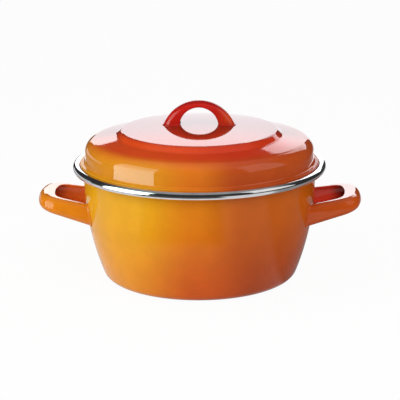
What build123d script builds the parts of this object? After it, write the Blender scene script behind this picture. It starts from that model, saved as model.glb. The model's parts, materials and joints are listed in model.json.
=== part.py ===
"""Enamelled steel casserole with a lift-off lid, in millimetres.

The pot and the lid are deep-drawn shells of one sheet thickness. A rolled
steel ring is crimped over the out-turned lip of the pot, and the lid rests on
that ring. The three handles are hollow pressed bows, open on their inner side.

The origin is the centre of the base, on the surface that the pot stands on.
+Z is up, and +X runs out through the right-hand side handle.
"""

import os
from math import cos, radians, sin, sqrt, tan

from build123d import *

# Sheet and fits
sheet = 1.2
weld_gap = 0.1
crimp_gap = 0.1
lid_seat_gap = 0.3
lid_side_gap = 1.2

# Pot body
pot_inside_diameter = 240.0
pot_rim_height = 118.2
wall_taper_deg = 1.6
belly_start_height = 99.0
belly_radius = 278.0
base_corner_radius = 11.5
base_foot_width = 12.0
base_dish_depth = 1.2
base_dish_run = 8.0
lip_bend_radius = 1.2

# Rim ring
ring_bead_diameter = 8.4
ring_sheet = 0.7
ring_standoff = 2.3

# Lid shell
lid_flange_overlap = 1.1
lid_flange_width = 4.9
lid_fold_gap = 0.4
lid_crease_radius = 2.0
lid_skirt_height = 21.8
lid_skirt_draft = 1.2
lid_shoulder_radius = 13.0
lid_annulus_rise = 5.6
lid_step_height = 6.1
lid_step_run = 5.5
lid_step_foot_radius = 5.0
lid_step_edge_radius = 3.0
lid_disc_radius = 81.0
lid_dome_rise = 4.8
lid_lip_depth = 6.0
lid_lip_bend_radius = 1.0

# Lid handle
lid_handle_span = 73.4
lid_handle_height = 24.7
lid_handle_depth = 15.5
lid_handle_edge_radius = 7.0
lid_handle_hole_radius = 20.2
lid_handle_hole_drop = 1.8

# Side handles, measured from the pot wall along the slope of the loop
side_mid_height = 74.6
side_slope_deg = 13.4
side_root_height = 20.5
side_tip_height = 14.8
side_edge_radius = 7.0
side_reach = 48.9
side_nose_bulge = 8.0
side_corner_radius = 21.0
side_root_half_width = 40.5
side_tip_half_width = 37.0
side_hole_reach = 33.3
side_hole_bulge = 4.0
side_hole_corner_radius = 13.0
side_hole_root_half_width = 32.2
side_hole_tip_half_width = 26.0

# Sizes that follow from the ones above
mouth_inside = pot_inside_diameter / 2
mouth_outside = mouth_inside + sheet
lip_underside = pot_rim_height - sheet / 2
bead = ring_bead_diameter / 2
ring_radius = mouth_outside + ring_standoff + bead
fold = sheet + lid_fold_gap / 2
flange_edge = ring_radius - bead + lid_flange_overlap
fold_offset = ring_radius - flange_edge + fold
fold_rise = sqrt((bead + fold + lid_seat_gap) ** 2 - fold_offset**2)
flange_top = pot_rim_height + fold_rise + fold
skirt_radius = flange_edge - lid_flange_width
shoulder_top = flange_top + lid_skirt_height
disc_edge_height = shoulder_top + lid_annulus_rise + lid_step_height
lid_top = disc_edge_height + lid_dome_rise
side_root_depth = mouth_outside / 4


def turned(outline):
    """Turn a closed outline in the XZ plane about Z."""
    return revolve(Plane.XZ * make_face(outline.edges()), Axis.Z)


def turned_sheet(skin, side):
    """Thicken a skin line in the XZ plane by one sheet, to one side of it, and turn it about Z."""
    return turned(offset(skin, amount=sheet, side=side, kind=Kind.INTERSECTION))


def wall_skin():
    """Outer skin of the pot, from the edge of the base flat to the foot of the lip's bend."""
    lean = radians(wall_taper_deg)
    top = Vector(mouth_outside, lip_underside - lip_bend_radius * (1 - sin(lean)))
    belly_top = Vector(top.X - (top.Y - belly_start_height) * tan(lean), belly_start_height)
    belly_centre = belly_top + Vector(-cos(lean), sin(lean)) * belly_radius
    corner_run = belly_radius - base_corner_radius
    corner_x = belly_centre.X + sqrt(corner_run**2 - (base_corner_radius - belly_centre.Y) ** 2)
    corner_centre = Vector(corner_x, base_corner_radius)
    outward = (corner_centre - belly_centre).normalized()
    corner = TangentArc((corner_x, 0), corner_centre + outward * base_corner_radius, tangent=(1, 0))
    belly = TangentArc(corner @ 1, belly_top, tangent=corner % 1)
    return Curve() + [corner, belly, Line(belly_top, top)]


def pot_form():
    """Full outer form of the pot, which the roots of the side handles are cut to."""
    wall = Pos(weld_gap, 0) * wall_skin()
    return turned(wall + Polyline(wall @ 1, (0, (wall @ 1).Y), (0, (wall @ 0).Y), wall @ 0))


def pot_body():
    """Drawn pot: dished base on a flat foot, bellied wall and out-turned lip."""
    wall = wall_skin()
    foot_inside = (wall @ 0).X - base_foot_width
    dish_edge = (foot_inside - base_dish_run, base_dish_depth)
    base = Polyline((0, base_dish_depth), dish_edge, (foot_inside, 0), wall @ 0)
    lean = radians(wall_taper_deg)
    bend_end = wall @ 1 + Vector(cos(lean), 1 - sin(lean)) * lip_bend_radius
    bend = TangentArc(wall @ 1, bend_end, tangent=wall % 1)
    lip_edge = ring_radius + bead - ring_sheet - crimp_gap
    lip = Line(bend_end, (lip_edge, bend_end.Y))
    return turned_sheet(base + wall + bend + lip, Side.LEFT)


def rim_ring():
    """Rolled ring: a tube slit on its inner side, where the lip of the pot goes in."""
    tube = Circle(bead) - Circle(bead - ring_sheet)
    slit = Pos(-bead / 2, 0) * Rectangle(bead, sheet + 2 * crimp_gap)
    return revolve(Plane.XZ * Pos(ring_radius, pot_rim_height) * (tube - slit), Axis.Z)


def dome_skin():
    """Outer skin of the raised disc of the lid, out to where its edge starts to turn down."""
    end = Vector(lid_disc_radius - 2 * lid_step_edge_radius, disc_edge_height)
    return RadiusArc((0, lid_top), end, (end.X**2 + lid_dome_rise**2) / (2 * lid_dome_rise))


def lid_form():
    """Solid under the raised disc, which the feet of the lid handle are cut to."""
    dome = Pos(0, weld_gap) * dome_skin()
    floor = shoulder_top
    return turned(dome + Polyline(dome @ 1, ((dome @ 1).X, floor), (0, floor), dome @ 0))


def lid_shell():
    """Drawn lid: raised disc, step, shoulder and skirt, with a folded flange above a plain lip."""
    dome = dome_skin()
    dome_slope = dome % 1
    disc_edge = dome @ 1 + dome_slope * ((lid_disc_radius - (dome @ 1).X) / dome_slope.X)
    step_foot = (lid_disc_radius + lid_step_run, shoulder_top + lid_annulus_rise)
    shoulder = (skirt_radius - lid_skirt_draft, shoulder_top)
    lip_radius = mouth_inside - lid_side_gap
    flange_bottom = flange_top - 2 * fold
    fold_radius = fold - lid_fold_gap / 4
    skin = FilletPolyline(
        dome @ 1,
        disc_edge,
        step_foot,
        shoulder,
        (skirt_radius, flange_top),
        (flange_edge, flange_top),
        (flange_edge, flange_bottom),
        (lip_radius, flange_bottom),
        (lip_radius, flange_bottom - lid_lip_depth),
        radius=[
            lid_step_edge_radius,
            lid_step_foot_radius,
            lid_shoulder_radius,
            lid_crease_radius,
            fold_radius,
            fold_radius,
            lid_lip_bend_radius,
        ],
    )
    return turned_sheet(dome + skin, Side.RIGHT)


def lid_handle_block(inset):
    """Solid bow on the lid, drawn in on its front, back and crown by a wall thickness."""
    radius = (lid_handle_span**2 / 4 + lid_handle_height**2) / (2 * lid_handle_height)
    centre = lid_top + lid_handle_height - radius
    foot_half_span = sqrt((radius - inset) ** 2 - (disc_edge_height - centre) ** 2)
    left_foot = (-foot_half_span, disc_edge_height)
    right_foot = (foot_half_span, disc_edge_height)
    bow = ThreePointArc(left_foot, (0, centre + radius - inset), right_foot)
    face = make_face(bow.edges() + Line(right_foot, left_foot).edges())
    block = extrude(Plane.XZ * face, lid_handle_depth / 2 - inset, both=True)
    return fillet(block.edges().filter_by(GeomType.CIRCLE), lid_handle_edge_radius - inset)


def lid_handle():
    """Hollow bow, open towards the lid, with its feet cut to the raised disc."""
    hole = Pos(0, lid_top - lid_handle_hole_drop) * Circle(lid_handle_hole_radius)
    finger_gap = extrude(Plane.XZ * hole, lid_handle_depth, both=True)
    return lid_handle_block(0) - lid_handle_block(sheet) - finger_gap - lid_form()


def loop_outline(reach, bulge, root_half_width, tip_half_width, corner_radius):
    """Half-oval outline in the slope of a side handle, from inside the pot wall to the nose."""
    taper = (root_half_width - tip_half_width) / (reach - bulge)
    inner_half_width = root_half_width + side_root_depth * taper
    nose = ThreePointArc((reach - bulge, -tip_half_width), (reach, 0), (reach - bulge, tip_half_width))
    inner_end = [(-side_root_depth, inner_half_width), (-side_root_depth, -inner_half_width)]
    outline = make_face(nose.edges() + Polyline(nose @ 1, *inner_end, nose @ 0).edges())
    return fillet(outline.vertices().group_by(Axis.X)[-1], corner_radius)


def side_handle_block(inset):
    """Solid loop in its own slope, lower at the nose, drawn in all round by a wall thickness."""
    outline = loop_outline(
        side_reach, side_nose_bulge, side_root_half_width, side_tip_half_width, side_corner_radius
    )
    taper = (side_root_height - side_tip_height) / side_reach / 2
    half_root = side_root_height / 2 + side_root_depth * taper - inset
    half_tip = side_tip_height / 2 - side_nose_bulge * taper - inset
    tip = side_reach + side_nose_bulge
    root = -side_root_depth
    wedge = Polyline((root, -half_root), (tip, -half_tip), (tip, half_tip), (root, half_root), close=True)
    side_view = extrude(Plane.XZ * make_face(wedge.edges()), 2 * side_root_half_width, both=True)
    block = extrude(offset(outline, -inset), side_root_height, both=True) & side_view
    faces = block.faces().sort_by(Axis.Z)
    rims = [edge for face in (faces[0], faces[-1]) for edge in face.edges() if edge.center().X > 0]
    return fillet(rims, side_edge_radius - inset)


def side_handle():
    """Right-hand bow: hollow, open on its inner side, with its roots cut to the pot wall."""
    hole = loop_outline(
        side_hole_reach,
        side_hole_bulge,
        side_hole_root_half_width,
        side_hole_tip_half_width,
        side_hole_corner_radius,
    )
    hand_gap = extrude(hole, side_root_height, both=True)
    bow = side_handle_block(0) - side_handle_block(sheet) - hand_gap
    return Pos(mouth_outside, 0, side_mid_height) * Rot(0, -side_slope_deg, 0) * bow - pot_form()


right_handle = side_handle()
nodes = {
    "pot_body": pot_body(),
    "rim_ring": rim_ring(),
    "left_handle": mirror(right_handle, Plane.YZ),
    "right_handle": right_handle,
    "lid_shell": lid_shell(),
    "lid_handle": lid_handle(),
}

os.makedirs("parts", exist_ok=True)
for name, solid in nodes.items():
    export_step(solid, f"parts/{name}.step")
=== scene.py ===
"""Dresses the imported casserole: enamelled shells, a polished rolled rim and welded bows.

Lengths in the finishes and the pieces are millimetres, as on a bench drawing.
They become metres where a mesh or a material is made. The studio is in metres.
"""

import json
import logging
from collections.abc import Iterator
from contextlib import contextmanager
from dataclasses import dataclass, field
from enum import Enum
from math import acos, atan2, ceil, cos, hypot, pi, radians, sin, sqrt, tan

import bpy
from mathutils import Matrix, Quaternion, Vector
from mathutils.kdtree import KDTree

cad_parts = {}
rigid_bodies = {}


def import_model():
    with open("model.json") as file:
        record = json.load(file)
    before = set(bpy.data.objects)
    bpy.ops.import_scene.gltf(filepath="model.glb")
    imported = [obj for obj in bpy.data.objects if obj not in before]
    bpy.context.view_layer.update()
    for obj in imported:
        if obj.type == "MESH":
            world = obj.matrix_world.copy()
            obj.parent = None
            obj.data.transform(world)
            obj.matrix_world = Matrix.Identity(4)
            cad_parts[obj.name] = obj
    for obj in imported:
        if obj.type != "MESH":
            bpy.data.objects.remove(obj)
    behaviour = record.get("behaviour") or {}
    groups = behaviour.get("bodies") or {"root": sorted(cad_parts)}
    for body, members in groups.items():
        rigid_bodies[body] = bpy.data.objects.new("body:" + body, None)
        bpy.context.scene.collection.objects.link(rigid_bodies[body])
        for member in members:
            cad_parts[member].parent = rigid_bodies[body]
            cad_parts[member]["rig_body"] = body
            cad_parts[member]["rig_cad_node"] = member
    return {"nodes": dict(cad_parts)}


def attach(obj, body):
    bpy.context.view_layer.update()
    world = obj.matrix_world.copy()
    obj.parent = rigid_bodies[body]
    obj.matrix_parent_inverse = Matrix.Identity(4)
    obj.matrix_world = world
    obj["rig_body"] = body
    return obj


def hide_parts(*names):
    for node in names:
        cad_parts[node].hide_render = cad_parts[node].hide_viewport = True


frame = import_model()

LOG = logging.getLogger("casserole")
MM = 0.001
INNER_SIDE = "inner_side"
UPPER_SIDE = "upper_side"

Point = tuple[float, float]
Trio = tuple[float, float, float]
Colour = tuple[float, float, float]
Pair = tuple[Colour, Colour]
Tones = tuple[Colour, Colour, Colour]
Pane = tuple[float, float, float, float]
Ramp = tuple[float, float, float, float]

Socket = bpy.types.NodeSocket
Material = bpy.types.Material
Piece = bpy.types.Object

WHITE: Colour = (1.0, 1.0, 1.0)
COOL_WHITE: Colour = (0.95, 0.965, 1.0)


class Body(Enum):
    """The two bodies that the pieces ride on."""

    POT = "pot"
    LID = "lid"


class Slot(Enum):
    """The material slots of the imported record."""

    POT = "pot_enamel"
    LID = "lid_enamel"
    LID_HANDLE = "lid_handle_enamel"
    RIM = "rim_steel"


class Side(Enum):
    """The side of the pot that a bow is welded to."""

    LEFT = "left_handle"
    RIGHT = "right_handle"


class Reach(Enum):
    """What a studio lamp acts on."""

    SHADING = "shading"
    GLOSS = "gloss"


# Finishes


class Graph:
    """Wires up the nodes of one material or of the world."""

    def __init__(self, tree: bpy.types.NodeTree) -> None:
        """Start from an empty tree.

        Args:
            tree: The node tree to fill.
        """
        self.tree = tree
        tree.nodes.clear()

    def add(self, kind: str, inputs: dict | None = None, **settings: object) -> bpy.types.Node:
        """Add a node, with its settings and inputs.

        Args:
            kind: The node's type, without its ShaderNode prefix.
            inputs: Values or output sockets, by the name or number of the input.
            settings: Attributes of the node.

        Returns:
            The new node.
        """
        node = self.tree.nodes.new("ShaderNode" + kind)
        for name, value in settings.items():
            setattr(node, name, value)
        for key, value in (inputs or {}).items():
            socket = node.inputs[key]
            if isinstance(value, Socket):
                self.tree.links.new(value, socket)
            else:
                socket.default_value = value
        return node

    def place(self) -> Socket:
        """Return the place on the piece, in Object coordinates."""
        return self.add("TexCoord").outputs["Object"]

    def split(self, vector: Socket) -> bpy.types.bpy_prop_collection:
        """Return the X, Y and Z of a vector, by name."""
        return self.add("SeparateXYZ", {0: vector}).outputs

    def noted(self, name: str) -> Socket:
        """Return a value that is noted on the piece's vertices."""
        return self.add("Attribute", attribute_name=name).outputs["Fac"]

    def across(self, vector: Socket) -> Socket:
        """Return the distance from the upright axis."""
        flat = self.add("VectorMath", {0: vector, 1: (1.0, 1.0, 0.0)}, operation="MULTIPLY")
        return self.add("VectorMath", {0: flat.outputs[0]}, operation="LENGTH").outputs["Value"]

    def maths(self, operation: str, *values: Socket | float) -> Socket:
        """Return what an operation makes of one or two values."""
        return self.add("Math", dict(enumerate(values)), operation=operation).outputs[0]

    def ramp(
        self, value: Socket, start: float, end: float, low: float = 0.0, high: float = 1.0
    ) -> Socket:
        """Ease from low to high while a value goes from start to end.

        Args:
            value: The value to follow.
            start: Where the ramp starts.
            end: Where the ramp ends.
            low: The result at the start.
            high: The result at the end.

        Returns:
            The eased result.
        """
        ends = {"From Min": start, "From Max": end, "To Min": low, "To Max": high}
        inputs = {"Value": value, **ends}
        return self.add("MapRange", inputs, interpolation_type="SMOOTHSTEP").outputs["Result"]

    def fade(self, value: Socket, span_mm: Point) -> Socket:
        """Ease from 0 to 1 between two places that are given in millimetres."""
        return self.ramp(value, span_mm[0] * MM, span_mm[1] * MM)

    def noise(self, vector: Socket, scale: float, detail: float = 3.0) -> Socket:
        """Return a noise of so many waves to the metre."""
        inputs = {"Vector": vector, "Scale": scale, "Detail": detail}
        return self.add("TexNoise", inputs).outputs[0]

    def mix(
        self,
        factor: Socket | float,
        first: Socket | Colour,
        second: Socket | Colour,
        blend: str = "MIX",
    ) -> Socket:
        """Mix two colours.

        Args:
            factor: How much of the second colour shows.
            first: The first colour.
            second: The second colour.
            blend: The way in which they mix.

        Returns:
            The mixed colour.
        """
        pair = [c if isinstance(c, Socket) else (*c, 1.0) for c in (first, second)]
        inputs = {0: factor, 6: pair[0], 7: pair[1]}
        return self.add("Mix", inputs, data_type="RGBA", blend_type=blend).outputs[2]

    def three_tone(self, value: Socket, stops_mm: Trio, tones: Tones) -> Socket:
        """Fade from one colour through a second to a third.

        Args:
            value: The place along the fade, in metres.
            stops_mm: Where each colour is pure.
            tones: The three colours.

        Returns:
            The faded colour.
        """
        early = self.mix(self.fade(value, stops_mm[:2]), *tones[:2])
        return self.mix(self.fade(value, stops_mm[1:]), early, tones[2])

    def bump(self, height: Socket, depth_mm: float) -> Socket:
        """Return a normal that is roughened by a height of so many millimetres."""
        inputs = {"Height": height, "Distance": depth_mm * MM, "Strength": 1.0}
        return self.add("Bump", inputs).outputs[0]

    def glow(self, strength: Socket | float, colour: Colour = WHITE) -> bpy.types.Node:
        """Return a shader that shines with a strength and a colour."""
        return self.add("Emission", {"Color": (*colour, 1.0), "Strength": strength})

    def surface(self, shader: bpy.types.Node, output: str = "OutputMaterial") -> None:
        """Make a shader the surface of the material or of the world."""
        self.tree.links.new(shader.outputs[0], self.add(output).inputs["Surface"])


def new_material(name: str) -> Material:
    """Make an empty material that uses nodes.

    Args:
        name: The name of the material.

    Returns:
        The material.
    """
    material = bpy.data.materials.new(name)
    material.use_nodes = True
    return material


@dataclass(frozen=True)
class Glaze:
    """The glassy surface that every enamel shares."""

    roughness: Point = (0.035, 0.075)
    ior: float = 1.5
    ripple_mm: float = 0.0022
    ripple_scale: float = 300.0
    mottle: float = 0.06
    mottle_scale: float = 55.0
    mottle_range: Point = (0.35, 0.7)
    smear_scale: float = 160.0
    smear_range: Point = (0.3, 0.75)

    def finish(
        self,
        graph: Graph,
        colour: Socket,
        place: Socket,
        sheen: Socket | float = 0.5,
        coat: Socket | float = 0.0,
    ) -> None:
        """Give a colour its mottle, its gloss and its orange peel.

        Args:
            graph: The graph of the material.
            colour: The colour of the enamel.
            place: Object coordinates.
            sheen: How strongly the surface mirrors, where 0.5 is plain glass.
            coat: How much clear glass has pooled on top.
        """
        cloud = graph.noise(place, self.mottle_scale, 4.0)
        shade = graph.ramp(cloud, *self.mottle_range, 1.0 - self.mottle, 1.0)
        tone = graph.add("CombineXYZ", {0: shade, 1: shade, 2: shade}).outputs[0]
        smear = graph.noise(place, self.smear_scale, 2.0)
        peel = graph.noise(place, self.ripple_scale, 1.0)
        inputs = {
            "Base Color": graph.mix(1.0, colour, tone, "MULTIPLY"),
            "Roughness": graph.ramp(smear, *self.smear_range, *self.roughness),
            "IOR": self.ior,
            "Specular IOR Level": sheen,
            "Coat Weight": coat,
            "Normal": graph.bump(peel, self.ripple_mm),
        }
        graph.surface(graph.add("BsdfPrincipled", inputs))


@dataclass(frozen=True)
class Finish:
    """A procedural finish, which makes a material of its own. Its tones run from left to right."""

    name: str

    def build(self) -> Material:
        """Make the material and wire it up.

        Returns:
            The new material.
        """
        material = new_material(self.name)
        self.wire(Graph(material.node_tree))
        return material

    def wire(self, graph: Graph) -> None:
        """Wire up the finish in the empty graph of its material."""
        raise NotImplementedError


@dataclass(frozen=True)
class WallEnamel(Finish):
    """Enamel that fades from one side of the pot to the other, and deepens towards the base. Both fades are
    partly the enamel's own tone and partly painted shade, darker where less light falls.
    """

    tones: Tones
    base_tones_with_shade: Tones
    fade_mm: Trio = (-62.0, 0.0, 46.0)
    base_fade_mm: Trio = (-86.0, 4.0, 62.0)
    base_mm: Point = (108.0, 6.0)
    sheen: float = 0.22
    glaze: Glaze = Glaze()

    def wire(self, graph: Graph) -> None:
        """Fade the wall and its base across, and one into the other.

        Args:
            graph: The empty graph of the material.
        """
        place = graph.place()
        axes = graph.split(place)
        # Partly painted shade: the wall is painted darker towards the right, away from the key light.
        upper = graph.three_tone(axes["X"], self.fade_mm, self.tones)
        lower = graph.three_tone(axes["X"], self.base_fade_mm, self.base_tones_with_shade)
        # Partly painted shade: the base tones are darker where less light reaches the lower wall.
        colour = graph.mix(graph.fade(axes["Z"], self.base_mm), upper, lower)
        self.glaze.finish(graph, colour, place, self.sheen)


@dataclass(frozen=True)
class CrownEnamel(Finish):
    """Enamel of the lid, from a deep crown to a lighter skirt. The disc's tones run from front to back. The
    darker back of the crown and the disc is painted shade, and the darkening to the right is partly painted
    shade.
    """

    skirt: Tones
    crown: Pair
    # Painted shade: the back of the crown, where less light falls.
    crown_back_shade: Colour
    disc: Pair
    fade_mm: Point = (-50.0, 44.0)
    skirt_mm: Trio = (-54.0, 2.0, 42.0)
    drift_mm: float = 4.0
    crown_mm: Point = (98.0, 122.5)
    crown_shade_fade_mm: Point = (-38.0, 16.0)
    disc_mm: Point = (84.0, 79.0)
    disc_shade_fade_mm: Point = (-78.0, -5.0)
    flange_mm: Point = (120.2, 121.4)
    flange_sheen: Point = (0.5, 0.08)
    glaze: Glaze = Glaze()

    def wire(self, graph: Graph) -> None:
        """Fade the disc, the crown and the skirt, and rub the edge of the flange dull.

        Args:
            graph: The empty graph of the material.
        """
        place = graph.place()
        axes = graph.split(place)
        radius = graph.across(place)
        aside = graph.add("VectorMath", {0: place, 1: (self.drift_mm * MM, 0.0, 0.0)}, operation="ADD")
        # Painted shade: the disc and the crown are painted darker towards the back.
        disc = graph.mix(graph.fade(axes["Y"], self.disc_shade_fade_mm), *self.disc)
        # Partly painted shade: the crown darkens to the right.
        front = graph.mix(graph.fade(axes["X"], self.fade_mm), *self.crown)
        annulus = graph.mix(graph.fade(axes["Y"], self.crown_shade_fade_mm), front, self.crown_back_shade)
        crown = graph.mix(graph.fade(radius, self.disc_mm), annulus, disc)
        # Partly painted shade: the skirt darkens to the right.
        skirt = graph.three_tone(axes["X"], self.skirt_mm, self.skirt)
        rim = graph.fade(graph.across(aside.outputs[0]), self.crown_mm)
        flange_start, flange_end = self.flange_mm
        sheen = graph.ramp(radius, flange_start * MM, flange_end * MM, *self.flange_sheen)
        self.glaze.finish(graph, graph.mix(rim, crown, skirt), place, sheen)


@dataclass(frozen=True)
class BowEnamel(Finish):
    """Enamel of the lid's bow: it turns a lighter orange to the right as painted light, pools at the feet,
    and its crest is painted darker as painted shade and mirrors less.
    """

    # Painted light: the right end of the bow is a lighter orange.
    bow: Pair
    foot: Colour
    # Painted shade on the crest, which faces up.
    crest: Colour
    fade_mm: Point = (16.0, 36.0)
    foot_mm: Point = (167.0, 159.0)
    sheen: Point = (0.45, 0.1)
    glaze: Glaze = Glaze(roughness=(0.07, 0.10), mottle=0.1)

    def wire(self, graph: Graph) -> None:
        """Fade the bow across to the painted light on its right, and give its crest its painted shade and
        its feet their tones.

        Args:
            graph: The empty graph of the material.
        """
        place = graph.place()
        axes = graph.split(place)
        upper = graph.noted(UPPER_SIDE)
        bow = graph.mix(graph.fade(axes["X"], self.fade_mm), *self.bow)
        # Painted shade: the upward-facing crest is painted darker.
        crest_with_shade = graph.mix(upper, bow, self.crest)
        colour = graph.mix(graph.fade(axes["Z"], self.foot_mm), crest_with_shade, self.foot)
        self.glaze.finish(graph, colour, place, graph.ramp(upper, 0.0, 1.0, *self.sheen))


@dataclass(frozen=True)
class HandleEnamel(Finish):
    """Enamel of the side handles, which fades as the pot does, partly as painted shade. Inside the bow it
    is painted a stronger red, standing in for shade and light bounced inside it, and the hollow of the nose
    is a painted shadow.
    """

    outer: Pair
    # Painted shade and bounced light: the inside of the bow is a stronger red than the outside.
    inner: Pair
    # Painted shadow in the hollow of the nose.
    nose: Pair
    fade_mm: Point = (-62.0, 52.0)
    nose_shadow_mm: Point = (136.0, 162.0)
    sheen: Point = (0.34, 0.5)
    coat: float = 0.6
    glaze: Glaze = Glaze()

    def wire(self, graph: Graph) -> None:
        """Fade the outside and the inside, paint the shadow into the hollow of the nose, and gloss the
        upper side.

        Args:
            graph: The empty graph of the material.
        """
        place = graph.place()
        across = graph.split(place)["X"]
        fade = graph.fade(across, self.fade_mm)
        # Painted shadow: the hollow of the nose is painted dark.
        nose = graph.fade(graph.maths("ABSOLUTE", across), self.nose_shadow_mm)
        outer = graph.mix(fade, *self.outer)
        arms_with_shade = graph.mix(fade, *self.inner)
        inner = graph.mix(nose, arms_with_shade, graph.mix(fade, *self.nose))
        # Painted shade and bounced light on the faces that look into the bow.
        colour = graph.mix(graph.noted(INNER_SIDE), outer, inner)
        upper = graph.noted(UPPER_SIDE)
        sheen = graph.ramp(upper, 0.0, 1.0, *self.sheen)
        coat = graph.ramp(upper, 0.0, 1.0, 0.0, self.coat)
        self.glaze.finish(graph, colour, place, sheen, coat)


@dataclass(frozen=True)
class SpeckledEnamel(Finish):
    """Plain enamel with fine specks, for the inside of the shells and for the underside."""

    ground: Colour
    speck: Colour
    speck_scale: float
    speck_from: float
    speck_edge: float = 0.04
    glaze: Glaze = Glaze(roughness=(0.09, 0.16), mottle=0.05)

    def wire(self, graph: Graph) -> None:
        """Scatter the specks over the ground.

        Args:
            graph: The empty graph of the material.
        """
        place = graph.place()
        grit = graph.noise(place, self.speck_scale, 2.0)
        specks = graph.ramp(grit, self.speck_from, self.speck_from + self.speck_edge)
        self.glaze.finish(graph, graph.mix(specks, self.ground, self.speck), place)


@dataclass(frozen=True)
class PolishedSteel(Finish):
    """Rolled stainless steel, polished along its length."""

    bright: Colour
    dull: Colour
    cloud_scale: float = 70.0
    dull_range: Point = (0.4, 0.75)
    rough_range: Point = (0.3, 0.8)
    roughness: Point = (0.05, 0.13)
    line_scale: float = 2600.0
    line_mm: float = 0.0012

    def wire(self, graph: Graph) -> None:
        """Cloud the steel, and draw fine polishing lines round the axis.

        Args:
            graph: The empty graph of the material.
        """
        place = graph.place()
        section = {0: graph.across(place), 1: graph.split(place)["Z"]}
        lines = graph.noise(graph.add("CombineXYZ", section).outputs[0], self.line_scale, 2.0)
        cloud = graph.noise(place, self.cloud_scale, 3.0)
        inputs = {
            "Base Color": graph.mix(graph.ramp(cloud, *self.dull_range), self.bright, self.dull),
            "Metallic": 1.0,
            "Roughness": graph.ramp(cloud, *self.rough_range, *self.roughness),
            "Normal": graph.bump(lines, self.line_mm),
        }
        graph.surface(graph.add("BsdfPrincipled", inputs))


# Tools of the bench


def eased(value: float, start: float, end: float) -> float:
    """Ease from 0 to 1 while a value goes from start to end."""
    share = max(0.0, min(1.0, (value - start) / (end - start)))
    return share * share * (3 - 2 * share)


@dataclass
class Profile:
    """An open line in the XZ plane, drawn point by point from its start."""

    points: list[Point]
    stride: float = 3.0
    arc_step: float = radians(5.0)

    def line(self, end: Point) -> "Profile":
        """Go straight to a point, with a vertex at every stride.

        Args:
            end: Where the line ends.

        Returns:
            The profile itself.
        """
        start = self.points[-1]
        run = (end[0] - start[0], end[1] - start[1])
        parts = max(1, ceil(hypot(*run) / self.stride))
        steps = [(k + 1) / parts for k in range(parts)]
        self.points += [(start[0] + run[0] * t, start[1] + run[1] * t) for t in steps]
        return self

    def arc(self, centre: Point, turn: float) -> "Profile":
        """Go round a centre by an angle, anticlockwise where it is positive.

        Args:
            centre: The centre of the arc.
            turn: The angle, in radians.

        Returns:
            The profile itself.
        """
        start = self.points[-1]
        radius = hypot(start[0] - centre[0], start[1] - centre[1])
        first = atan2(start[1] - centre[1], start[0] - centre[0])
        parts = max(2, ceil(abs(turn) / self.arc_step), ceil(abs(turn) * radius / self.stride))
        angles = [first + turn * (k + 1) / parts for k in range(parts)]
        self.points += [(centre[0] + radius * cos(a), centre[1] + radius * sin(a)) for a in angles]
        return self

    def rounded(self, corners: list[tuple[Point, float]], end: Point) -> "Profile":
        """Go through corners that are rounded by a radius each, and straight on to an end.

        Args:
            corners: The corners and their radii.
            end: The last point.

        Returns:
            The profile itself.
        """
        ahead = [corner for corner, _ in corners[1:]] + [end]
        for (corner, radius), after in zip(corners, ahead):
            here = Vector(corner)
            inward = (here - Vector(self.points[-1])).normalized()
            outward = (Vector(after) - here).normalized()
            turn = acos(max(-1.0, min(1.0, inward.dot(outward))))
            left = inward.x * outward.y - inward.y * outward.x > 0
            trim = radius * tan(turn / 2)
            start = here - inward * trim
            side = Vector((-inward.y, inward.x)) if left else Vector((inward.y, -inward.x))
            self.line(tuple(start))
            self.arc(tuple(start + side * radius), turn if left else -turn)
        return self.line(end)


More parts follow.
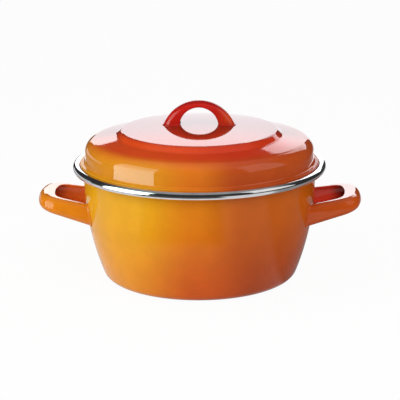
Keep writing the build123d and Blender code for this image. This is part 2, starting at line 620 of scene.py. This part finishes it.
class Bench:
    """Steps of work that select, shape and finish a mesh with Blender's own operators."""

    @staticmethod
    def clear() -> None:
        """Leave edit mode and let go of everything."""
        if bpy.context.object and bpy.context.object.mode != "OBJECT":
            bpy.ops.object.mode_set(mode="OBJECT")
        bpy.ops.object.select_all(action="DESELECT")

    @staticmethod
    def take(piece: Piece) -> None:
        """Select one piece and make it active.

        Args:
            piece: The piece to work on.
        """
        Bench.clear()
        piece.select_set(True)
        bpy.context.view_layer.objects.active = piece

    @staticmethod
    @contextmanager
    def editing(piece: Piece) -> Iterator[None]:
        """Work on a piece in edit mode, with all of it selected at the start.

        Args:
            piece: The piece to edit.
        """
        Bench.take(piece)
        bpy.ops.object.mode_set(mode="EDIT")
        bpy.ops.mesh.select_all(action="SELECT")
        yield
        bpy.ops.object.mode_set(mode="OBJECT")

    @staticmethod
    def modify(piece: Piece, kind: str, **settings: object) -> None:
        """Add a modifier to a piece and apply it.

        Args:
            piece: The piece to change.
            kind: The modifier's type.
            settings: Attributes of the modifier.
        """
        Bench.take(piece)
        bpy.ops.object.modifier_add(type=kind)
        modifier = piece.modifiers[-1]
        for name, value in settings.items():
            setattr(modifier, name, value)
        bpy.ops.object.modifier_apply(modifier=modifier.name)

    @staticmethod
    def draw(name: str, profile: Profile) -> Piece:
        """Draw a profile as a wire, by extruding one vertex along it.

        Args:
            name: The name of the new piece.
            profile: The line to follow.

        Returns:
            The wire.
        """
        Bench.clear()
        bpy.ops.mesh.primitive_plane_add(size=0.01)
        piece = bpy.context.object
        piece.name = name
        spots = [Vector((x, 0.0, z)) * MM for x, z in profile.points]
        with Bench.editing(piece):
            bpy.ops.mesh.select_mode(type="VERT")
            bpy.ops.mesh.merge(type="CENTER")
            bpy.ops.transform.translate(value=spots[0])
            for here, there in zip(spots, spots[1:]):
                bpy.ops.mesh.extrude_vertices_move(TRANSFORM_OT_translate={"value": there - here})
        return piece

    @staticmethod
    def turn(piece: Piece, profile: Profile, outward: Vector, steps: int = 256) -> None:
        """Spin a wire about the upright axis into a skin.

        Args:
            piece: The wire.
            profile: The line that the wire follows.
            outward: The way that the face nearest the start of the wire should look.
            steps: The number of faces round the skin.
        """
        with Bench.editing(piece):
            bpy.ops.mesh.spin(steps=steps, angle=2 * pi, center=(0, 0, 0), axis=(0, 0, 1))
            bpy.ops.mesh.select_all(action="SELECT")
            bpy.ops.mesh.remove_doubles(threshold=1e-6)
            bpy.ops.mesh.normals_make_consistent(inside=False)
        (x, z), (next_x, next_z) = profile.points[:2]
        start = Vector((x + next_x, 0.0, z + next_z)) * MM / 2
        first = min(piece.data.polygons, key=lambda face: (face.center - start).length)
        if first.normal.dot(outward) < 0:
            with Bench.editing(piece):
                bpy.ops.mesh.flip_normals()

    @staticmethod
    def thicken(piece: Piece, sheet: float, lining: int = 0) -> None:
        """Give a skin the thickness of its sheet, on the side that it doesn't look to.

        Args:
            piece: The skin.
            sheet: The thickness, in millimetres.
            lining: How many material slots further on the finish of the inner side is.
        """
        shape = {"thickness": sheet * MM, "offset": -1.0, "use_even_offset": True}
        Bench.modify(piece, "SOLIDIFY", **shape, material_offset=lining)

    @staticmethod
    def smooth(piece: Piece, angle: float = 50.0) -> None:
        """Shade a piece smooth across edges that turn by less than an angle in degrees."""
        Bench.take(piece)
        bpy.ops.object.shade_smooth_by_angle(angle=radians(angle))

    @staticmethod
    def dress(piece: Piece, *materials: Material) -> None:
        """Give a piece its materials, in the order of its slots.

        Args:
            piece: The piece to dress.
            materials: The materials.
        """
        piece.data.materials.clear()
        for material in materials:
            piece.data.materials.append(material)

    @staticmethod
    def fit(piece: Piece, body: Body, slot: Slot, node: str) -> Piece:
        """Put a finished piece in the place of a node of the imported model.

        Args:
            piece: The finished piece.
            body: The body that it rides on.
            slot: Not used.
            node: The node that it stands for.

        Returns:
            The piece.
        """
        Bench.clear()
        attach(piece, body.value)
        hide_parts(node)
        LOG.info("%s: %d faces, rides on %s", piece.name, len(piece.data.polygons), body.value)
        return piece


# Pieces


@dataclass
class Sheet:
    """The sheet that the shells and bows are pressed from, and the gaps between them."""

    thickness: float = 1.2
    weld_gap: float = 0.1
    seat_slack: float = 0.05


@dataclass
class PotBody:
    """Drawn pot: dished base on a flat foot, bellied wall and out-turned lip."""

    sheet: Sheet = field(default_factory=Sheet)
    mouth_outside: float = 121.2
    rim_height: float = 118.2
    taper: float = radians(1.6)
    belly_start: float = 99.0
    belly_radius: float = 278.0
    corner_radius: float = 11.5
    foot_width: float = 12.0
    dish_depth: float = 1.2
    dish_run: float = 8.0
    lip_bend: float = 1.2
    lip_edge: float = 131.1
    under_height: float = 1.6
    under_slope: float = 0.85

    @property
    def wall_top(self) -> Point:
        """Where the straight wall ends and the lip's bend starts."""
        bend_foot = self.lip_bend * (1 - sin(self.taper))
        return self.mouth_outside, self.rim_height - self.sheet.thickness / 2 - bend_foot

    @property
    def belly_top(self) -> Point:
        """Where the belly ends and the straight wall starts."""
        x, z = self.wall_top
        return x - (z - self.belly_start) * tan(self.taper), self.belly_start

    @property
    def belly_centre(self) -> Point:
        """The centre of the belly's arc."""
        x, z = self.belly_top
        return x - cos(self.taper) * self.belly_radius, z + sin(self.taper) * self.belly_radius

    @property
    def corner_centre(self) -> Point:
        """The centre of the arc between base and belly."""
        x, z = self.belly_centre
        run = self.belly_radius - self.corner_radius
        return x + sqrt(run**2 - (self.corner_radius - z) ** 2), self.corner_radius

    def skin_radius(self, height: float) -> float:
        """Work out the radius of the outer wall.

        Args:
            height: The height above the base.

        Returns:
            The radius at that height.
        """
        if height > self.belly_start:
            return self.wall_top[0] - (self.wall_top[1] - height) * tan(self.taper)
        x, z = self.belly_centre
        return x + sqrt(self.belly_radius**2 - (height - z) ** 2)

    def profile(self) -> Profile:
        """Draw the outer skin, from the middle of the base to the edge of the lip.

        Returns:
            The line of the skin.
        """
        corner_x, corner_z = self.corner_centre
        belly_x, belly_z = self.belly_centre
        foot_inside = corner_x - self.foot_width
        corner_end = atan2(corner_z - belly_z, corner_x - belly_x)
        belly_end = atan2(self.belly_top[1] - belly_z, self.belly_top[0] - belly_x)
        line = Profile([(0.0, self.dish_depth)])
        line.line((foot_inside - self.dish_run, self.dish_depth)).line((foot_inside, 0.0))
        line.line((corner_x, 0.0)).arc((corner_x, corner_z), corner_end + pi / 2)
        line.arc((belly_x, belly_z), belly_end - corner_end).line(self.wall_top)
        x, z = self.wall_top
        centre = (x + self.lip_bend * cos(self.taper), z - self.lip_bend * sin(self.taper))
        line.arc(centre, -(pi / 2 - self.taper))
        return line.line((self.lip_edge, self.rim_height - self.sheet.thickness / 2))

    def build(self, outside: Material, inside: Material, under: Material) -> Piece:
        """Turn the pot, give it its sheet and its three enamels.

        Args:
            outside: The enamel of the wall.
            inside: The enamel of the inside.
            under: The enamel of the underside.

        Returns:
            The finished piece.
        """
        skin = self.profile()
        piece = Bench.draw("pot_shell", skin)
        Bench.turn(piece, skin, Vector((0, 0, -1)))
        Bench.dress(piece, outside, inside, under, inside)
        for face in piece.data.polygons:
            if face.center.z < self.under_height * MM and abs(face.normal.z) > self.under_slope:
                face.material_index = 2
        Bench.thicken(piece, self.sheet.thickness, lining=1)
        Bench.smooth(piece)
        return Bench.fit(piece, Body.POT, Slot.POT, "pot_body")


@dataclass
class RimRing:
    """Rolled ring: a tube with a slit on its inner side, crimped over the lip of the pot."""

    radius: float = 127.7
    height: float = 118.2
    bead: float = 4.2
    thickness: float = 0.7
    slit: float = 1.4
    arc_step: float = radians(6.0)

    def build(self, steel: Material) -> Piece:
        """Roll the tube and polish it.

        Args:
            steel: The finish of the ring.

        Returns:
            The finished piece.
        """
        gap = atan2(self.slit / 2, sqrt(self.bead**2 - self.slit**2 / 4))
        start = (self.radius - self.bead * cos(gap), self.height + self.bead * sin(gap))
        line = Profile([start], arc_step=self.arc_step)
        line.arc((self.radius, self.height), -2 * (pi - gap))
        piece = Bench.draw("rim_roll", line)
        Bench.turn(piece, line, Vector((-1, 0, 0)))
        Bench.thicken(piece, self.thickness)
        Bench.dress(piece, steel)
        Bench.smooth(piece)
        return Bench.fit(piece, Body.POT, Slot.RIM, "rim_ring")


@dataclass
class LidShell:
    """Drawn lid: raised disc, step, shoulder and skirt, with a folded flange above a plain lip."""

    sheet: Sheet = field(default_factory=Sheet)
    top: float = 161.716
    dome_rise: float = 4.8
    disc_radius: float = 81.0
    step_edge_radius: float = 3.0
    step_run: float = 5.5
    step_height: float = 6.1
    step_foot_radius: float = 5.0
    annulus_rise: float = 5.6
    shoulder_radius: float = 13.0
    skirt_draft: float = 1.2
    skirt_radius: float = 119.7
    skirt_height: float = 21.8
    crease_radius: float = 2.0
    flange_width: float = 4.9
    fold_gap: float = 0.4
    lip_radius: float = 118.8
    lip_depth: float = 6.0
    lip_bend: float = 1.0

    @property
    def dome_edge(self) -> Point:
        """Where the dome ends and the edge of the disc starts to turn down."""
        return self.disc_radius - 2 * self.step_edge_radius, self.top - self.dome_rise

    @property
    def dome_radius(self) -> float:
        """The radius of the dome's arc."""
        return (self.dome_edge[0] ** 2 + self.dome_rise**2) / (2 * self.dome_rise)

    def dome_height(self, radius: float) -> float:
        """Return the height of the dome at a distance from the axis."""
        return self.top - self.dome_radius + sqrt(self.dome_radius**2 - radius**2)

    def profile(self) -> Profile:
        """Draw the outer skin, from the middle of the disc to the end of the lip.

        Returns:
            The line of the skin.
        """
        edge_x, edge_z = self.dome_edge
        sweep = atan2(edge_x, self.dome_radius - self.dome_rise)
        disc_edge = (self.disc_radius, edge_z - (self.disc_radius - edge_x) * tan(sweep))
        shoulder_top = edge_z - self.step_height - self.annulus_rise
        step_foot = (self.disc_radius + self.step_run, shoulder_top + self.annulus_rise)
        flange_top = shoulder_top - self.skirt_height
        fold = self.sheet.thickness + self.fold_gap / 2
        fold_radius = fold - self.fold_gap / 4
        flange_edge = self.skirt_radius + self.flange_width
        flange_bottom = flange_top - 2 * fold
        line = Profile([(0.0, self.top)])
        line.arc((0.0, self.top - self.dome_radius), -sweep)
        corners = [
            (disc_edge, self.step_edge_radius),
            (step_foot, self.step_foot_radius),
            ((self.skirt_radius - self.skirt_draft, shoulder_top), self.shoulder_radius),
            ((self.skirt_radius, flange_top), self.crease_radius),
            ((flange_edge, flange_top), fold_radius),
            ((flange_edge, flange_bottom), fold_radius),
            ((self.lip_radius, flange_bottom), self.lip_bend),
        ]
        return line.rounded(corners, (self.lip_radius, flange_bottom - self.lip_depth))

    def build(self, outside: Material, inside: Material) -> Piece:
        """Turn the lid, give it its sheet and its two enamels.

        Args:
            outside: The enamel of the top and the skirt.
            inside: The enamel of the underside.

        Returns:
            The finished piece.
        """
        skin = self.profile()
        piece = Bench.draw("lid_shell_enamelled", skin)
        Bench.turn(piece, skin, Vector((0, 0, 1)))
        Bench.dress(piece, outside, inside)
        Bench.thicken(piece, self.sheet.thickness, lining=1)
        Bench.smooth(piece)
        return Bench.fit(piece, Body.LID, Slot.LID, "lid_shell")


@dataclass
class Bow:
    """A pressed bow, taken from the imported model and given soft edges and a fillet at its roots."""

    node: str
    name: str
    body: Body
    slot: Slot
    fillet_radius: float
    grain: float
    softness: int
    inner_gain: float = 2.0
    upper_turn: Point = (0.5, 0.83)

    def rests(self, spot: Vector) -> bool:
        """Return whether a point of the bow lies on the shell that it is welded to."""
        raise NotImplementedError

    def copy_node(self) -> Piece:
        """Copy the node's mesh into a new piece and close its seams.

        Returns:
            The copy.
        """
        Bench.take(frame["nodes"][self.node])
        bpy.ops.object.duplicate()
        piece = bpy.context.object
        bpy.ops.object.parent_clear(type="CLEAR_KEEP_TRANSFORM")
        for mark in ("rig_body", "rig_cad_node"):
            del piece[mark]
        piece.name = self.name
        with Bench.editing(piece):
            bpy.ops.mesh.remove_doubles(threshold=5e-6)
            bpy.ops.mesh.select_all(action="DESELECT")
        return piece

    def root_fillet(self, piece: Piece) -> Piece:
        """Run a bead of enamel round the roots of the bow.

        Args:
            piece: The merged copy of the bow.

        Returns:
            The bead, as a tube.
        """
        seated = [self.rests(vertex.co) for vertex in piece.data.vertices]
        for face in piece.data.polygons:
            face.select = all(seated[k] for k in face.vertices)
        Bench.take(piece)
        bpy.ops.object.mode_set(mode="EDIT")
        bpy.ops.mesh.select_mode(type="FACE")
        bpy.ops.mesh.region_to_loop()
        bpy.ops.mesh.duplicate()
        bpy.ops.mesh.separate(type="SELECTED")
        bpy.ops.object.mode_set(mode="OBJECT")
        bead = next(o for o in bpy.context.selected_objects if o is not piece)
        Bench.take(bead)
        bpy.ops.object.convert(target="CURVE")
        bead = bpy.context.object
        bead.data.bevel_depth = self.fillet_radius * MM
        bead.data.bevel_resolution = 3
        bpy.ops.object.convert(target="MESH")
        return bpy.context.object

    def soften(self, piece: Piece) -> None:
        """Melt the bow and its fillet into one coat, and round its edges.

        Args:
            piece: The bow, joined with its fillet.
        """
        Bench.modify(piece, "REMESH", mode="VOXEL", voxel_size=self.grain * MM)
        Bench.modify(piece, "SMOOTH", factor=0.5, iterations=self.softness)

    def mark_sides(self, piece: Piece) -> None:
        """Note on each vertex how much it looks towards the middle of the bow, and how much up. The
        finishes paint shade and bounced light by these shares, inside the side bows and on the lid bow's
        crest.

        Args:
            piece: The softened bow.
        """
        middle = sum((Vector(corner) for corner in piece.bound_box), Vector()) / 8
        inner = piece.data.attributes.new(INNER_SIDE, "FLOAT", "POINT").name
        upper = piece.data.attributes.new(UPPER_SIDE, "FLOAT", "POINT").name
        for vertex in piece.data.vertices:
            inward = self.inner_gain * (middle - vertex.co).normalized().dot(vertex.normal)
            piece.data.attributes[inner].data[vertex.index].value = max(0.0, min(1.0, inward))
            upward = eased(vertex.normal.z, *self.upper_turn)
            piece.data.attributes[upper].data[vertex.index].value = upward

    def build(self, enamel: Material) -> Piece:
        """Make the bow and dress it.

        Args:
            enamel: The enamel of the bow.

        Returns:
            The finished piece.
        """
        piece = self.copy_node()
        bead = self.root_fillet(piece)
        Bench.take(piece)
        bead.select_set(True)
        bpy.ops.object.join()
        self.soften(piece)
        self.mark_sides(piece)
        Bench.dress(piece, enamel)
        Bench.smooth(piece, 180.0)
        return Bench.fit(piece, self.body, self.slot, self.node)


@dataclass
class SideHandle(Bow):
    """A side handle, welded to the wall of the pot, with its upper edge rolled over more than its lower."""

    upper_turn: Point = (0.8, 0.97)
    pot: PotBody = field(default_factory=PotBody)
    mid_height: float = 74.6
    slope: float = radians(13.4)
    root_half_width: float = 40.5
    tip_half_width: float = 37.0
    corner_reach: float = 43.0
    corner_radius: float = 20.0
    nose_reach: float = 48.9
    nose_radius: float = 70.0
    roll_width: Point = (7.5, 15.0)
    roll_widens: Point = (24.0, 36.0)
    roll_rise: Point = (-4.0, 1.0)
    roll_start: Point = (4.0, 16.0)
    rolls: int = 480

    def in_slope(self, spot: Vector) -> Vector:
        """Turn a point into the slope of the loop.

        Args:
            spot: The point, in metres.

        Returns:
            How far it is outwards, along the wall and up, in millimetres.
        """
        out = abs(spot.x) / MM - self.pot.mouth_outside
        up = spot.z / MM - self.mid_height
        swing = (cos(self.slope), sin(self.slope))
        return Vector((out * swing[0] + up * swing[1], spot.y / MM, up * swing[0] - out * swing[1]))

    def outline(self) -> KDTree:
        """Draw the loop's outline, seen square to its slope.

        Returns:
            The points of the outline, ready to be searched.
        """
        root, tip = self.root_half_width, self.tip_half_width
        line = Profile([(0.0, root)], stride=1.0)
        bends = [
            ((self.corner_reach, tip), self.corner_radius),
            ((self.nose_reach, 0.0), self.nose_radius),
            ((self.corner_reach, -tip), self.corner_radius),
        ]
        spots = line.rounded(bends, (0.0, -root)).points
        tree = KDTree(len(spots))
        for k, (x, y) in enumerate(spots):
            tree.insert((x, y, 0.0), k)
        tree.balance()
        return tree

    def edge_weight(self, spot: Vector, outline: KDTree) -> float:
        """Work out how much a point belongs to the upper outer edge, which is broader at the nose.

        Args:
            spot: The point, in the slope of the loop.
            outline: The points of the loop's outline.

        Returns:
            A share from 0 to 1.
        """
        margin = outline.find((spot.x, spot.y, 0.0))[2]
        narrow, wide = self.roll_width
        width = narrow + (wide - narrow) * eased(spot.x, *self.roll_widens)
        near = 1 - eased(margin, width / 2, width)
        return near * eased(spot.z, *self.roll_rise) * eased(spot.x, *self.roll_start)

    def soften(self, piece: Piece) -> None:
        """Round the edges, and roll the upper outer edge over further.

        Args:
            piece: The bow, joined with its fillet.
        """
        super().soften(piece)
        edge = piece.vertex_groups.new(name="upper_edge")
        outline = self.outline()
        for vertex in piece.data.vertices:
            weight = self.edge_weight(self.in_slope(vertex.co), outline)
            if weight > 0:
                edge.add([vertex.index], weight, "REPLACE")
        Bench.modify(piece, "SMOOTH", vertex_group=edge.name, factor=0.5, iterations=self.rolls)
        piece.vertex_groups.clear()

    def rests(self, spot: Vector) -> bool:
        """Return whether a point lies on the wall of the pot."""
        away = hypot(spot.x, spot.y) / MM - self.pot.skin_radius(spot.z / MM)
        return abs(away - self.pot.sheet.weld_gap) < self.pot.sheet.seat_slack


@dataclass
class LidHandle(Bow):
    """The lid's handle, welded to the raised disc."""

    lid: LidShell = field(default_factory=LidShell)

    def rests(self, spot: Vector) -> bool:
        """Return whether a point lies on the disc of the lid."""
        away = spot.z / MM - self.lid.dome_height(hypot(spot.x, spot.y) / MM)
        return abs(away - self.lid.sheet.weld_gap) < self.lid.sheet.seat_slack


# Studio


@dataclass(frozen=True)
class Lamp:
    """A soft rectangular lamp, whose level is its brightness, where 1 is white."""

    name: str
    place: Trio
    aim: Trio
    size: Point
    level: float
    reach: Reach

    def hang(self) -> None:
        """Hang the lamp and turn it to its aim."""
        Bench.clear()
        bpy.ops.object.light_add(type="AREA", location=self.place)
        lamp = bpy.context.object
        lamp.name = self.name
        lamp.data.shape = "RECTANGLE"
        lamp.data.size, lamp.data.size_y = self.size
        lamp.data.energy = self.level * pi * self.size[0] * self.size[1]
        lamp.rotation_mode = "QUATERNION"
        lamp.rotation_quaternion = (Vector(self.aim) - Vector(self.place)).to_track_quat("-Z", "Y")
        lamp.visible_camera = False
        lamp.visible_glossy = self.reach is Reach.GLOSS
        lamp.visible_diffuse = self.reach is Reach.SHADING


@dataclass(frozen=True)
class Panel:
    """An upright white panel that only a mirror shows, in parts from left to right and foot to top."""

    name: str
    place: Point
    turn: float
    panes: tuple[Pane, ...]
    ovals: tuple[Pane, ...] = ()

    def cut(self, pane: Pane) -> Piece:
        """Cut one part, flat on the floor.

        Args:
            pane: The left, right, foot and top of the part.

        Returns:
            The part.
        """
        left, right, foot, top = pane
        middle = ((left + right) / 2, (foot + top) / 2, 0.0)
        Bench.clear()
        if pane in self.ovals:
            bpy.ops.mesh.primitive_circle_add(vertices=64, radius=0.5, fill_type="NGON", location=middle)
        else:
            bpy.ops.mesh.primitive_plane_add(size=1.0, location=middle)
        bpy.context.object.scale = (right - left, top - foot, 1.0)
        return bpy.context.object

    def stand(self) -> Graph:
        """Join the parts and stand them up on the floor.

        Returns:
            The empty graph of the panel's material.
        """
        parts = [self.cut(pane) for pane in self.panes + self.ovals]
        Bench.take(parts[0])
        for part in parts:
            part.select_set(True)
        bpy.ops.object.transform_apply(location=True, rotation=True, scale=True)
        if len(parts) > 1:
            bpy.ops.object.join()
        panel = bpy.context.object
        panel.name = self.name
        panel.rotation_euler = (pi / 2, 0.0, self.turn)
        panel.location = (*self.place, 0.0)
        bpy.ops.object.transform_apply(location=True, rotation=True, scale=True)
        material = new_material(self.name + "_white")
        panel.data.materials.append(material)
        panel.visible_camera = False
        panel.visible_diffuse = False
        panel.visible_shadow = False
        panel.visible_transmission = False
        return Graph(material.node_tree)


@dataclass
class Studio:
    """Pale floor, soft lamps, white panels and the camera, all in metres."""

    distance: float = 1.6838
    elevation: float = radians(15.41)
    yaw: float = radians(2.2)
    roll: float = radians(-0.4)
    aim: Trio = (0.0, 0.0, 0.0793)
    lens: float = 144.0
    sensor: float = 36.0
    shift: float = 0.00075

    # The floor, and how bright mirrors show it. Bearings are from the front, positive to the right.
    floor_size: float = 40.0
    floor_colour: Colour = (0.86, 0.86, 0.86)
    floor_white: float = 0.95
    glow_left: float = 0.68
    glow_right: float = 0.7
    glow_back: float = 0.22
    glow_front: float = 0.05
    back_bearing: Point = (radians(-165.0), radians(-120.0))
    left_edge: Point = (radians(-51.0), radians(-41.0))
    right_edge: Point = (radians(15.0), radians(25.0))
    side_edge: Point = (radians(57.0), radians(67.0))
    foot_reach: Ramp = (0.19, 0.24, 0.75, 0.0)
    foot_bearing: Ramp = (radians(32.0), radians(58.0), 1.0, 0.0)
    floor_reach: Ramp = (0.45, 0.85, 1.0, 0.06)
    rear_breadth: Ramp = (0.3, 0.5, 1.0, 0.0)
    rear_reach: Ramp = (0.2, 0.4, 0.0, 0.6)

    # The room, by the height of a direction, as shading and as mirrors see it.
    ambient: Ramp = (0.0, 0.8, 0.62, 0.5)
    room: Ramp = (0.62, 0.9, 0.03, 0.3)

    lamps: tuple[Lamp, ...] = (
        Lamp("key_left", (-1.15, -0.55, 0.7), (0, 0, 0.1), (0.9, 1.1), 2.65, Reach.SHADING),
        Lamp("fill_front", (0.5, -1.4, 1.25), (0, 0, 0.1), (1.2, 1.1), 2.75, Reach.SHADING),
        Lamp("fill_right", (1.35, -0.25, 0.45), (0, 0, 0.1), (0.8, 0.8), 1.05, Reach.SHADING),
        Lamp("card_right", (0.6, -0.25, 0.6), (0, 0, 0.6), (0.5, 0.8), 0.8, Reach.GLOSS),
    )

    # A screen behind the pot, which is brighter towards its top and dimmer in its upper right.
    screen: Panel = Panel(
        "rear_screen",
        place=(0.0, 1.0),
        turn=0.0,
        panes=(
            (-0.30, -0.15, 0.0, 0.48),
            (-0.46, -0.30, 0.22, 0.48),
            (-0.20, 0.12, 0.0, 0.2),
            (0.10, 0.34, 0.0, 0.69),
            (0.34, 0.80, 0.46, 0.69),
            (0.40, 0.78, 0.69, 1.03),
        ),
        ovals=((-0.26, 0.17, 0.025, 0.775),),
    )
    screen_glow: Ramp = (0.1, 0.8, 1.55, 4.0)
    screen_dusk: Ramp = (0.4, 0.68, 0.0, 0.47)
    screen_dusk_edge: Point = (0.14, 0.18)

    # A bright card at the left, which shows as a window on the skirt of the lid.
    window: Panel = Panel("left_window", (-0.475, -0.27), radians(-60.6), ((-0.22, 0.22, 0.01, 0.56),))
    window_glow: Ramp = (0.18, 0.42, 4.8, 2.4)
    window_tint: Colour = (0.78, 1.0, 0.94)

    # A low card behind the pot on the left, which breaks up the dark line on the ring.
    card: Panel = Panel("low_card", (-0.85, 0.62), radians(54.0), ((-0.42, 0.42, 0.0, 0.16),))
    card_glow: float = 0.8

    def stand_camera(self) -> None:
        """Stand the camera at the photograph's viewing angle."""
        flat = cos(self.elevation)
        back = Vector((sin(self.yaw) * flat, -cos(self.yaw) * flat, sin(self.elevation)))
        Bench.clear()
        bpy.ops.object.camera_add(location=Vector(self.aim) + back * self.distance)
        camera = bpy.context.object
        camera.name = "studio_camera"
        camera.data.lens = self.lens
        camera.data.sensor_width = self.sensor
        camera.data.shift_x = self.shift
        camera.rotation_mode = "QUATERNION"
        camera.rotation_quaternion = (-back).to_track_quat("-Z", "Y") @ Quaternion((0, 0, 1), self.roll)
        bpy.context.scene.camera = camera

    def floor_sheen(self, graph: Graph) -> Socket:
        """Work out how bright the floor is in a mirror: pale at the sides, dusky in front and far off.

        Args:
            graph: The graph of the floor's material.

        Returns:
            The brightness.
        """
        place = graph.place()
        axes = graph.split(place)
        away = graph.across(place)
        bearing = graph.maths("ARCTAN2", axes["X"], graph.maths("MULTIPLY", axes["Y"], -1.0))
        left = graph.ramp(bearing, *self.back_bearing, self.glow_back, self.glow_left)
        left = graph.maths("MULTIPLY", left, graph.ramp(bearing, *self.left_edge, 1.0, self.glow_front))
        right = graph.ramp(bearing, *self.right_edge, 0.0, self.glow_right)
        side = graph.ramp(bearing, *self.side_edge, 0.0, self.glow_back - self.glow_right)
        round_about = graph.maths("ADD", left, graph.maths("ADD", right, side))
        foot = graph.ramp(bearing, *self.foot_bearing)
        foot = graph.maths("MULTIPLY", graph.ramp(away, *self.foot_reach), foot)
        near = graph.maths("MAXIMUM", round_about, foot)
        near = graph.maths("MULTIPLY", near, graph.ramp(away, *self.floor_reach))
        breadth = graph.ramp(graph.maths("ABSOLUTE", axes["X"]), *self.rear_breadth)
        rear = graph.maths("MULTIPLY", breadth, graph.ramp(axes["Y"], *self.rear_reach))
        return graph.maths("MAXIMUM", near, rear)

    def lay_floor(self) -> None:
        """Lay a pale floor that shows as white and keeps the shadow of the pot."""
        Bench.clear()
        bpy.ops.mesh.primitive_plane_add(size=self.floor_size)
        floor = bpy.context.object
        floor.name = "studio_floor"
        material = new_material("pale_floor")
        graph = Graph(material.node_tree)
        rays = graph.add("LightPath").outputs
        shown = graph.maths("MAXIMUM", rays["Is Camera Ray"], rays["Is Transmission Ray"])
        seen = graph.maths("MAXIMUM", shown, rays["Is Glossy Ray"])
        white = graph.glow(graph.maths("MAXIMUM", shown, self.floor_sheen(graph)))
        matt = graph.add("BsdfDiffuse", {"Color": (*self.floor_colour, 1.0)})
        part = graph.maths("MULTIPLY", seen, self.floor_white)
        graph.surface(graph.add("MixShader", {0: part, 1: matt.outputs[0], 2: white.outputs[0]}))
        floor.data.materials.append(material)

    def paint_room(self) -> None:
        """Surround the scene with a soft room: white to the camera, dark at the horizon to gloss."""
        world = bpy.data.worlds.new("studio_room")
        bpy.context.scene.world = world
        world.use_nodes = True
        graph = Graph(world.node_tree)
        rays = graph.add("LightPath").outputs
        height = graph.split(graph.add("TexCoord").outputs["Generated"])["Z"]
        levels = (graph.ramp(height, *self.ambient), graph.ramp(height, *self.room), 1.0)
        colour = (*WHITE, 1.0)
        soft, gloss, white = (
            graph.add("Background", {"Color": colour, "Strength": level}).outputs[0] for level in levels
        )
        lit = graph.add("MixShader", {0: rays["Is Glossy Ray"], 1: soft, 2: gloss}).outputs[0]
        shown = graph.maths("MAXIMUM", rays["Is Camera Ray"], rays["Is Transmission Ray"])
        graph.surface(graph.add("MixShader", {0: shown, 1: lit, 2: white}), "OutputWorld")

    def stand_panels(self) -> None:
        """Stand the screen, the window and the low card, and light them."""
        graph = self.screen.stand()
        axes = graph.split(graph.place())
        dusk = graph.ramp(axes["Z"], *self.screen_dusk)
        shade = graph.maths("MULTIPLY", dusk, graph.ramp(axes["X"], *self.screen_dusk_edge))
        rest = graph.maths("SUBTRACT", 1.0, shade)
        level = graph.maths("MULTIPLY", graph.ramp(axes["Z"], *self.screen_glow), rest)
        graph.surface(graph.glow(level, COOL_WHITE))
        graph = self.window.stand()
        height = graph.split(graph.place())["Z"]
        graph.surface(graph.glow(graph.ramp(height, *self.window_glow), self.window_tint))
        graph = self.card.stand()
        graph.surface(graph.glow(self.card_glow, COOL_WHITE))

    def build(self) -> None:
        """Set up the whole studio."""
        self.stand_camera()
        self.lay_floor()
        self.paint_room()
        for lamp in self.lamps:
            lamp.hang()
        self.stand_panels()
        LOG.info("studio: camera, floor, lamps and panels are up")


def main() -> None:
    """Build and dress every piece, then light the scene."""
    logging.basicConfig(level=logging.INFO, format="%(name)s: %(message)s")
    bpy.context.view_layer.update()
    scene = bpy.context.scene
    scene.view_settings.view_transform = "Standard"

    # Partly painted shade: the wall darkens to the right and towards the base.
    wall = WallEnamel(
        name="wall_enamel",
        tones=((0.80, 0.39, 0.012), (0.70, 0.205, 0.010), (0.52, 0.103, 0.006)),
        base_tones_with_shade=((0.82, 0.32, 0.010), (0.62, 0.098, 0.005), (0.41, 0.055, 0.002)),
    ).build()
    # Painted shade and bounced light: the inner tones are a stronger red, and the nose tones are a painted
    # shadow.
    side = HandleEnamel(
        name="side_handle_enamel",
        outer=((0.74, 0.225, 0.008), (0.51, 0.076, 0.008)),
        inner=((1.0, 0.23, 0.038), (0.85, 0.064, 0.032)),
        nose=((0.42, 0.034, 0.024), (0.09, 0.012, 0.012)),
    ).build()
    # Painted shade: the darker back of the crown and the disc, and partly the darker right.
    crown = CrownEnamel(
        name="lid_enamel",
        skirt=((0.70, 0.31, 0.014), (0.69, 0.175, 0.012), (0.475, 0.072, 0.012)),
        crown=((0.71, 0.070, 0.010), (0.63, 0.040, 0.009)),
        crown_back_shade=(0.26, 0.024, 0.009),
        disc=((0.50, 0.038, 0.010), (0.27, 0.020, 0.008)),
    ).build()
    # Painted light on the bow's right end, painted shade on its crest.
    bow = BowEnamel(
        name="lid_bow_enamel",
        bow=((0.58, 0.016, 0.009), (0.70, 0.070, 0.013)),
        foot=(0.46, 0.014, 0.008),
        crest=(0.38, 0.010, 0.006),
    ).build()
    cream = SpeckledEnamel(
        name="cream_enamel",
        ground=(0.80, 0.76, 0.66),
        speck=(0.55, 0.48, 0.38),
        speck_scale=420.0,
        speck_from=0.68,
    ).build()
    dark = SpeckledEnamel(
        name="base_enamel",
        ground=(0.018, 0.015, 0.014),
        speck=(0.16, 0.15, 0.14),
        speck_scale=500.0,
        speck_from=0.62,
    ).build()
    steel = PolishedSteel(
        name="rim_steel",
        bright=(0.86, 0.86, 0.87),
        dull=(0.74, 0.74, 0.76),
    ).build()

    pot = PotBody()
    lid = LidShell()
    pot.build(wall, cream, dark)
    RimRing().build(steel)
    for place in Side:
        SideHandle(
            node=place.value,
            name=place.value + "_enamelled",
            body=Body.POT,
            slot=Slot.POT,
            fillet_radius=1.1,
            grain=0.42,
            softness=4,
            pot=pot,
        ).build(side)
    lid.build(crown, cream)
    LidHandle(
        node="lid_handle",
        name="lid_bow",
        body=Body.LID,
        slot=Slot.LID_HANDLE,
        fillet_radius=1.0,
        grain=0.28,
        softness=7,
        lid=lid,
    ).build(bow)
    Studio().build()


if __name__ == "__main__":
    main()
